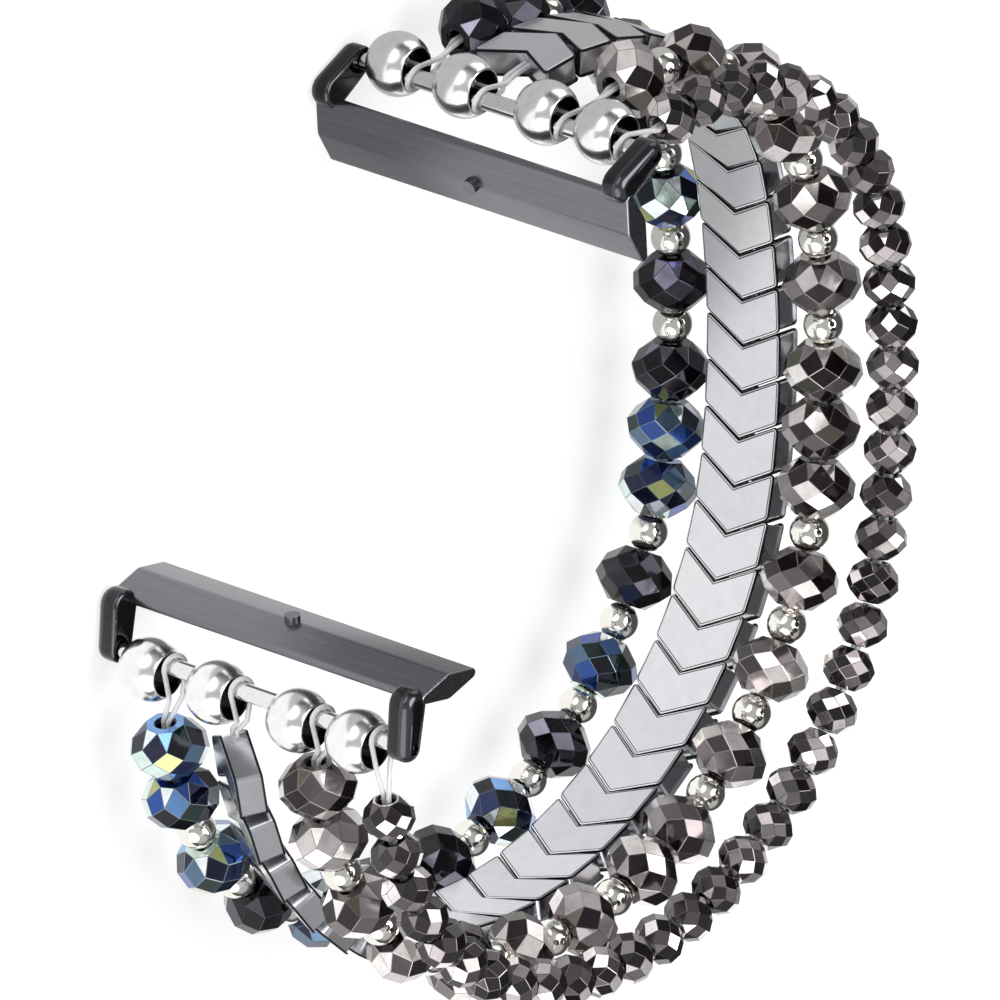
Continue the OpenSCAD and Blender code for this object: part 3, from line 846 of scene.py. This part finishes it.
def black_plate():
    """Steel with a glossy black plating: dark, with clear highlights, and its rounded edges painted paler
    as a painted highlight.
    """
    material, tree, shader = blank("black_plated_steel")
    # The plating is mottled over half a millimetre.
    fine = noise(tree, 0.5556)
    base = mixed(tree, spread(tree, fine, 0.0, 1.0, 0.35, 0.7), colour("#101013"), colour("#1d1d21"))
    # The rounded edges are mixed toward a paler grey: a painted highlight along them.
    edged = mixed(tree, spread(tree, attribute(tree, "rim"), 0.0, 0.5), base, colour("#55545c"))
    tree.links.new(edged, shader.inputs["Base Color"])
    tree.links.new(spread(tree, fine, 0.08, 0.16), shader.inputs["Roughness"])
    shader.inputs["Metallic"].default_value = 0.75
    shader.inputs["Coat Weight"].default_value = 0.6
    shader.inputs["Coat Roughness"].default_value = 0.08
    # Its grain is drawn a fifth of a millimetre across, so that it shows.
    bumped(tree, shader, noise(tree, 0.2), 0.1, 0.02)
    return material


def satin_steel():
    """Dark steel brushed along the rail, which draws its highlights out across it."""
    material, tree, shader = blank("dark_satin_steel")
    # The brushed lines are drawn 0.29 mm apart, coarser than they are, so that they show.
    fine = noise(tree, 0.2857, along=0.03)
    base = mixed(tree, fine, colour("#6a6a70"), colour("#85858b"))
    edged = mixed(tree, spread(tree, attribute(tree, "rim"), 0.0, 0.6), base, colour("#b3b2b8"))
    tree.links.new(edged, shader.inputs["Base Color"])
    tree.links.new(spread(tree, fine, 0.2, 0.34), shader.inputs["Roughness"])
    shader.inputs["Metallic"].default_value = 1.0
    bumped(tree, shader, fine, 0.12, 0.02)
    return material


def clear_cord():
    """Clear drawn elastic cord: pale and shiny, and a little see-through. It swells and thins over just
    under a millimetre."""
    material, tree, shader = blank("clear_elastic_cord")
    fine = noise(tree, 0.8333)
    tree.links.new(mixed(tree, fine, colour("#dfe2e5"), colour("#fbfcfd")), shader.inputs["Base Color"])
    tree.links.new(spread(tree, fine, 0.04, 0.12), shader.inputs["Roughness"])
    shader.inputs["Transmission Weight"].default_value = 0.4
    shader.inputs["IOR"].default_value = 1.49
    bumped(tree, shader, fine, 0.2, 0.04)
    return material


BLUE = aurora_glass()
BLACK = black_glass()
GUNMETAL = gunmetal_glass()
DARK_GUNMETAL = small_gunmetal_glass()
HEMATITE = hematite()
SILVER = silver_plate("silver_plated_spacer", 0.06, "#f3f1ea")
BIG_SILVER = silver_plate("polished_silver_ball", 0.2, "#f6f6f4")
STEEL = polished_steel()
BLACK_PLATE = black_plate()
SATIN = satin_steel()
CORD = clear_cord()

# The bead shapes. The small beads' holes are a tenth of a millimetre narrower than the large ones'.
LARGE_BEAD = cut_bead(RONDELLE_D, RONDELLE_L, table_r=1.5, girdle=0.42, hole_d=BEAD_HOLE_D, edge=0.03)
SMALL_BEAD = cut_bead(SMALL_D, SMALL_L, table_r=1.05, girdle=0.32, hole_d=BEAD_HOLE_D - 0.1, edge=0.025)
CHEVRON = chevron_shape()
SPACER = drilled_ball(SPACER_D, BEAD_HOLE_D, lip=0.12)
LARGE_BALL = drilled_ball(BALL_D, BALL_HOLE_D, lip=0.22)


# The beads and cords of each segment of the band.
def seed_of(strand, n):
    return 100 * strand + n


def strand_items(strand, kind, shape, k, colours=None):
    """The beads of one kind in segment k of a strand with silver balls."""
    items = []
    for n in range(count_at(strand, k - 1), count_at(strand, k)):
        if beads_of(strand)[n] != kind:
            continue
        seed = seed_of(strand, n)
        number = beads_of(strand)[:n].count("R")
        material = 1 if colours and colours[number] == "K" else 0
        spin = 360 * hashed(seed, SPIN_DRAW)
        items.append((shape, strand_matrix(strand, bead_place(strand, n), spin), seed, material))
    return items


def filled_items(strand, shape, k):
    """The chevrons or small beads in segment k."""
    items = []
    for n in range(count_at(strand, k - 1), count_at(strand, k)):
        seed = seed_of(strand, n)
        place = fill_place(strand, n)
        spin = 360 * hashed(seed, SPIN_DRAW) if strand == SMALL else twist_at(place)
        items.append((shape, strand_matrix(strand, place, spin), seed, 0))
    return items


def cord_run(strand, start, end, up):
    """Points along a strand from start to end, at a height above its middle."""
    longest_step = 0.8
    steps = max(2, math.ceil(abs(end - start) / longest_step))
    return [strand_spot(strand, start + (end - start) * n / steps, up) for n in range(steps + 1)]


def cord_round_bar(strand, bar, bead, cut):
    """The path of a doubled cord along its strand, round an adapter's spring bar, and back."""
    mouth = strand_spot(strand, bead, 0)
    out = Vector((mouth.x - bar[0], mouth.y - bar[1]))
    radius = BAR_D / 2 + LOOP_CLEARANCE + CORD_D / 2
    way = math.atan2(out.y, out.x)
    touch = math.acos(radius / out.length)
    lean = math.asin(CORD_STEP / (radius * math.sin(touch)))
    level = BALL_Z[strand] + LOOP_OVER_BALL

    def spot(x, y, z):
        turned_x = x * math.cos(way) - y * math.sin(way)
        turned_y = x * math.sin(way) + y * math.cos(way)
        return Vector((bar[0] + turned_x, bar[1] + turned_y, z))

    # Level with its loop until it is clear of the ball's mouth, on either side of the bar.
    clear = BALL_HANG + BALL_HOLE_D / 2 + LIP_GAP
    aside = radius * math.sin(touch) * (out.length - clear) / (out.length - radius * math.cos(touch))
    turn = [spot(clear, aside, level + CORD_STEP)]
    steps = 40
    for n in range(steps + 1):
        a = touch + (2 * math.pi - 2 * touch) * n / steps
        z = level + radius * math.sin(a) * math.sin(lean)
        turn.append(spot(radius * math.cos(a), radius * math.sin(a) * math.cos(lean), z))
    turn.append(spot(clear, -aside, level - CORD_STEP))
    return cord_run(strand, cut, bead, CORD_STEP) + turn + cord_run(strand, bead, cut, -CORD_STEP)


def cord_items(k):
    """The doubled cords of segment k, which at either end of the band go round the spring bar."""
    items = []
    for strand in (LEFT, CHEVRONS, GREY, SMALL):
        start = FIRST_LEADS[strand] - fill_lag(strand)
        end = STRAND_LEN - LAST_LEADS[strand] + fill_lag(strand)
        if k > 1:
            start = cut_place(strand, k - 1) + CORD_BREAK / 2
        if k < SEGMENTS:
            end = cut_place(strand, k) - CORD_BREAK / 2
        if k == 1:
            paths = [cord_round_bar(strand, LOWER_BAR, start, end)]
        elif k == SEGMENTS:
            paths = [cord_round_bar(strand, UPPER_BAR, end, start)]
        else:
            paths = [cord_run(strand, start, end, side * CORD_STEP) for side in (-1, 1)]
        items += [(tube_shape(path, CORD_D / 2), Matrix.Identity(4), strand, 0) for path in paths]
    return items


for k in range(1, SEGMENTS + 1):
    body = f"segment_{k}"
    left = strand_items(LEFT, "R", LARGE_BEAD, k, LEFT_COLOURS)
    grey = strand_items(GREY, "R", LARGE_BEAD, k)
    spacers = strand_items(LEFT, "b", SPACER, k) + strand_items(GREY, "b", SPACER, k)
    build(f"cut_glass_beads_{k}", left, [BLUE, BLACK], body, f"glass_beads_{k}")
    build(f"cut_grey_beads_{k}", grey, [GUNMETAL], body, f"grey_beads_{k}")
    build(f"plated_spacers_{k}", spacers, [SILVER], body, f"spacer_balls_{k}")
    chevrons = filled_items(CHEVRONS, CHEVRON, k)
    build(f"polished_chevrons_{k}", chevrons, [HEMATITE], body, f"chevrons_{k}")
    small = filled_items(SMALL, SMALL_BEAD, k)
    build(f"cut_small_beads_{k}", small, [DARK_GUNMETAL], body, f"small_beads_{k}")
    build(f"elastic_cords_{k}", cord_items(k), [CORD], body, f"cords_{k}")


# The adapters: tear-drop ears, slide rail, spring bar and balls.
def outline_of(circles, inset):
    """Points anticlockwise round a row of circles, each (centre, radius), drawn in by inset."""
    steps = 9
    count = len(circles)
    points = []

    def edge_turn(a, b):
        dx, dy = b[0][0] - a[0][0], b[0][1] - a[0][1]
        length = math.hypot(dx, dy)
        return math.degrees(math.atan2(dy, dx)) - 90 + math.degrees(math.asin((a[1] - b[1]) / length))

    for i, circle in enumerate(circles):
        start = edge_turn(circles[i - 1], circle)
        sweep = (edge_turn(circle, circles[(i + 1) % count]) - start + 720) % 360
        for n in range(steps + 1):
            a = math.radians(start + sweep * n / steps)
            r = circle[1] - inset
            points.append((circle[0][0] + r * math.cos(a), circle[0][1] + r * math.sin(a)))
    return points


def rounded_plate(circles, low, high, low_edge, high_edge, holes=()):
    """A plate with the outline of some circles from z low to high, rounded edges, and through holes."""
    bm = bmesh.new()
    facet = bm.faces.layers.int.new("facet")
    edge_steps = 6
    curve = [math.pi / 2 * n / edge_steps for n in range(edge_steps + 1)]
    drops = [(1 - math.cos(a), 1 - math.sin(a)) for a in curve]
    levels = [(low + low_edge * rise, low_edge * inset) for rise, inset in drops]
    levels += [(high - high_edge * rise, high_edge * inset) for rise, inset in reversed(drops)]
    rings = []
    for z, inset in levels:
        rings.append([bm.verts.new((x, y, z)) for x, y in outline_of(circles, inset)])
    count = len(rings[0])
    for near, far in zip(rings, rings[1:]):
        for n in range(count):
            m = (n + 1) % count
            made = bm.faces.new((near[n], near[m], far[m], far[n]))
            made.smooth = True
            made[facet] = 1 if abs(near[n].co.z - far[n].co.z) > max(low_edge, high_edge) else EDGE
    around = 24
    angles = [2 * math.pi * n / around for n in range(around)]
    mouths = []
    for ring, z in ((rings[0], low), (rings[-1], high)):
        edges = [bm.edges.get((ring[n], ring[(n + 1) % count])) for n in range(count)]
        for (x, y), radius in holes:
            mouth = [bm.verts.new((x + radius * math.cos(a), y + radius * math.sin(a), z)) for a in angles]
            edges += [bm.edges.new((mouth[n], mouth[(n + 1) % around])) for n in range(around)]
            mouths.append(mouth)
        bmesh.ops.triangle_fill(bm, use_beauty=True, use_dissolve=False, edges=edges)
    for near, far in zip(mouths[: len(holes)], mouths[len(holes) :]):
        for n in range(around):
            m = (n + 1) % around
            made = bm.faces.new((near[n], near[m], far[m], far[n]))
            made.smooth = True
            made[facet] = 2
    bmesh.ops.recalc_face_normals(bm, faces=bm.faces)
    made = shape_of(bm)
    bm.free()
    return made


RAIL_MID = ((RAIL_FRONT[0] + RAIL_BACK[0]) / 2, (RAIL_FRONT[1] + RAIL_BACK[1]) / 2)
EAR_OUTLINE = [(BAR_PLACE, EAR_R), (EAR_ROOT, ROOT_R)]
RAIL_OUTLINE = [
    (RAIL_FRONT, RAIL_EDGE_R),
    (RAIL_MID, RAIL_T / 2),
    (RAIL_BACK, RAIL_EDGE_R),
    (RAIL_MID, RAIL_T / 2),
]
PIN_HOLE = (BAR_PLACE, TIP_HOLE_D / 2)
# Radii of an ear's outer and inner edges and of the rail's end edges, and how far the rail's ends lie
# inside the ears' outer faces, which keeps the two apart there.
OUTER_EDGE, INNER_EDGE, RAIL_END_EDGE = 0.75, 0.3, 0.12
RAIL_SHORT = 0.001
# The seed of each adapter's first ball. Its ears and rail have seeds 1 to 3.
BALL_SEED = 900

LEFT_EAR = rounded_plate(EAR_OUTLINE, 0, EAR_T, OUTER_EDGE, INNER_EDGE, [PIN_HOLE])
RIGHT_EAR = rounded_plate(EAR_OUTLINE, ADAPTER_W - EAR_T, ADAPTER_W, INNER_EDGE, OUTER_EDGE, [PIN_HOLE])
RAIL = rounded_plate(RAIL_OUTLINE, RAIL_SHORT, ADAPTER_W - RAIL_SHORT, RAIL_END_EDGE, RAIL_END_EDGE)

for side, axis, mirror in (("lower", LOWER_AXIS, 1), ("upper", UPPER_AXIS, -1)):
    place = Matrix.Translation((axis[0], axis[1], 0)) @ Matrix.Diagonal((mirror, 1, 1, 1))
    body = f"{side}_adapter"
    parts = [(LEFT_EAR, place, 1, 0), (RIGHT_EAR, place, 2, 0), (RAIL, place, 3, 1)]
    build(f"{side}_adapter_body", parts, [BLACK_PLATE, SATIN], body, f"{side}_adapter")
    for i, height in enumerate(BALL_Z):
        ball_place = place @ Matrix.Translation((0, 0, height)) @ Matrix.Rotation(math.pi / 2, 4, "Y")
        item = (LARGE_BALL, ball_place, BALL_SEED + i, 0)
        name = f"{side}_ball_{i + 1}"
        build(f"polished_{name}", [item], [BIG_SILVER], name, name)
    for part, material in (
        ("bar_tube", STEEL),
        ("bar_tip_left", STEEL),
        ("bar_tip_right", STEEL),
        ("bar_spring", STEEL),
        ("latch_pin", SATIN),
    ):
        node = nodes[f"{side}_{part}"]
        node.data.materials.clear()
        node.data.materials.append(material)
nodes["knots"].data.materials.clear()
nodes["knots"].data.materials.append(CORD)

# The camera stands far off, as for a product photograph, and looks along the photograph's direction.
RIGHT = Vector((-0.3675, 0.5384, 0.7584))
UP = Vector((-0.9276, -0.2716, -0.2567))
BACK = Vector((0.0678, -0.7978, 0.5992))
PIXELS_PER_MM = 13.5
PICTURE_SIDE = 1000
# A point between the two adapters, and the pixel where the photograph has it.
SEEN_POINT = Vector((LOWER_AXIS[0] - 24.4, LOWER_AXIS[1] - 5.6, 13.16))
SEEN_X, SEEN_Y = 322, 372
# How far behind that point the camera's target lies, in mm.
TARGET_BEHIND = 23
across = RIGHT * (PICTURE_SIDE / 2 - SEEN_X) / PIXELS_PER_MM
down = UP * (PICTURE_SIDE / 2 - SEEN_Y) / PIXELS_PER_MM
target = SEEN_POINT + across - down - BACK * TARGET_BEHIND
camera_data = bpy.data.cameras.new("camera")
camera_data.sensor_width = 36
camera_data.lens = 1000
distance = PICTURE_SIDE / PIXELS_PER_MM * camera_data.lens / camera_data.sensor_width
camera = bpy.data.objects.new("camera", camera_data)
bpy.context.scene.collection.objects.link(camera)
turn = Matrix((RIGHT, UP, BACK)).transposed()
camera.matrix_world = Matrix.Translation((target + BACK * distance) * MM) @ turn.to_4x4()
camera_data.clip_start = 0.05
camera_data.clip_end = 20
bpy.context.scene.camera = camera

WHITE = (1, 1, 1, 1)


# The floor, and the studio round it.
def floor():
    """A white table, which keeps the band's shadow. To polished pieces it shows a painted reflection
    instead: a painted shade, dim under the upper side of the loop where x is less than dim_to, and bright
    where x is more than bright_from (both in metres)."""
    half = 6
    dim_to, bright_from = -0.009, -0.003
    mesh = bpy.data.meshes.new("floor")
    corners = [(-half, -half, 0), (half, -half, 0), (half, half, 0), (-half, half, 0)]
    mesh.from_pydata(corners, [], [(0, 1, 2, 3)])
    made = bpy.data.objects.new("floor", mesh)
    bpy.context.scene.collection.objects.link(made)
    material = bpy.data.materials.new("pale_floor")
    material.use_nodes = True
    tree = material.node_tree
    tree.nodes.clear()
    path = add(tree, "ShaderNodeLightPath")
    diffuse = add(tree, "ShaderNodeBsdfDiffuse", values={"Color": (0.35, 0.35, 0.35, 1)})
    glow = add(tree, "ShaderNodeEmission", values={"Color": WHITE, "Strength": 0.72})
    both = add(tree, "ShaderNodeAddShader", {0: diffuse.outputs[0], 1: glow.outputs[0]})
    where = add(tree, "ShaderNodeNewGeometry").outputs["Position"]
    x = add(tree, "ShaderNodeSeparateXYZ", {0: where}).outputs["X"]
    # Glossy rays see a painted reflection: a painted shade, dim under the upper side of the loop and bright
    # beyond it.
    level = spread(tree, x, 0.5, 1.05, dim_to, bright_from)
    painted_reflection = add(tree, "ShaderNodeEmission", {"Strength": level}, {"Color": WHITE})
    chosen = add(
        tree,
        "ShaderNodeMixShader",
        {"Fac": path.outputs["Is Glossy Ray"], 1: both.outputs[0], 2: painted_reflection.outputs[0]},
    )
    add(tree, "ShaderNodeOutputMaterial", {"Surface": chosen.outputs[0]})
    mesh.materials.append(material)


floor()


def studio():
    """A dim grey room with large soft boxes, which the camera sees as white."""
    room_level = 0.08
    # Each box's direction, the cosines of the angles from it at which the box starts and is full, and its
    # strength.
    boxes = [
        (RIGHT * 0.8 + BACK * 0.6, 0.895, 0.955, 5.5),
        (-UP * 0.8 + BACK * 0.55 - RIGHT * 0.25, 0.82, 0.93, 2.4),
        (-UP * 0.8 + BACK * 0.3 + RIGHT * 0.5, 0.75, 0.95, 0.4),
        (UP * 0.5 + BACK * 0.77 - RIGHT * 0.4, 0.86, 0.96, 1.8),
        (UP * 0.9 + RIGHT * 0.5 - BACK * 0.1, 0.88, 0.97, 1.4),
        (BACK, 0.4, 0.9, 0.4),
    ]
    world = bpy.data.worlds.new("studio")
    bpy.context.scene.world = world
    world.use_nodes = True
    tree = world.node_tree
    tree.nodes.clear()
    way = add(tree, "ShaderNodeTexCoord").outputs["Generated"]
    total = None
    for middle, start, full, strength in boxes:
        axis = middle.normalized()
        dot = add(tree, "ShaderNodeVectorMath", {0: way}, {1: axis}, operation="DOT_PRODUCT")
        lit = add(
            tree,
            "ShaderNodeMapRange",
            {"Value": dot.outputs["Value"]},
            {"From Min": start, "From Max": full, "To Min": 0.0, "To Max": strength},
            interpolation_type="SMOOTHSTEP",
        ).outputs["Result"]
        total = lit if total is None else add(tree, "ShaderNodeMath", {0: total, 1: lit}).outputs[0]
    raised = add(tree, "ShaderNodeMath", {0: total}, {1: room_level}).outputs[0]
    room = add(tree, "ShaderNodeBackground", {"Strength": raised}, {"Color": WHITE})
    plain = add(tree, "ShaderNodeBackground", values={"Color": WHITE, "Strength": 1.0})
    path = add(tree, "ShaderNodeLightPath")
    chosen = add(
        tree,
        "ShaderNodeMixShader",
        {"Fac": path.outputs["Is Camera Ray"], 1: room.outputs[0], 2: plain.outputs[0]},
    )
    add(tree, "ShaderNodeOutputWorld", {"Surface": chosen.outputs[0]})


studio()

bpy.context.scene.view_settings.view_transform = "Standard"
